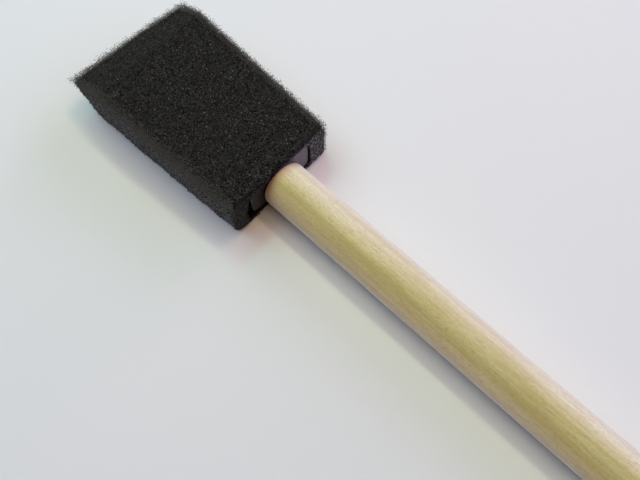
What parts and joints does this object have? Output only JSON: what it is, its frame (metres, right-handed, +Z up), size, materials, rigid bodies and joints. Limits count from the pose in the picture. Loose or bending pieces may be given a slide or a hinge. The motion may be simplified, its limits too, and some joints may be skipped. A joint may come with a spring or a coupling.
{
  "type": "foam sponge brush",
  "caption": "One-inch foam sponge brush: a chisel-tipped foam head on a plastic core with a round wooden dowel handle.",
  "frame": {"origin": "on the plane that the brush lies on, under the middle of its length and width", "axes": "+X from the handle's far end to the foam's tip, +Y across the width, +Z up through the foam's thickness"},
  "size_m": [0.1554, 0.0254, 0.0106],
  "materials": {
    "foam": "matte open-cell polyurethane foam",
    "core_plastic": "satin moulded plastic",
    "handle_wood": "bare sanded wood, unvarnished",
    "film_adhesive": "clear dried adhesive film",
    "plug_adhesive": "pale dried adhesive"
  },
  "bodies": {
    "root": {"foam_head": "foam", "plastic_core": "core_plastic", "wood_handle": "handle_wood", "blade_glue_upper": "film_adhesive", "blade_glue_lower": "film_adhesive", "stem_glue": "plug_adhesive"}
  },
  "joints": []
}
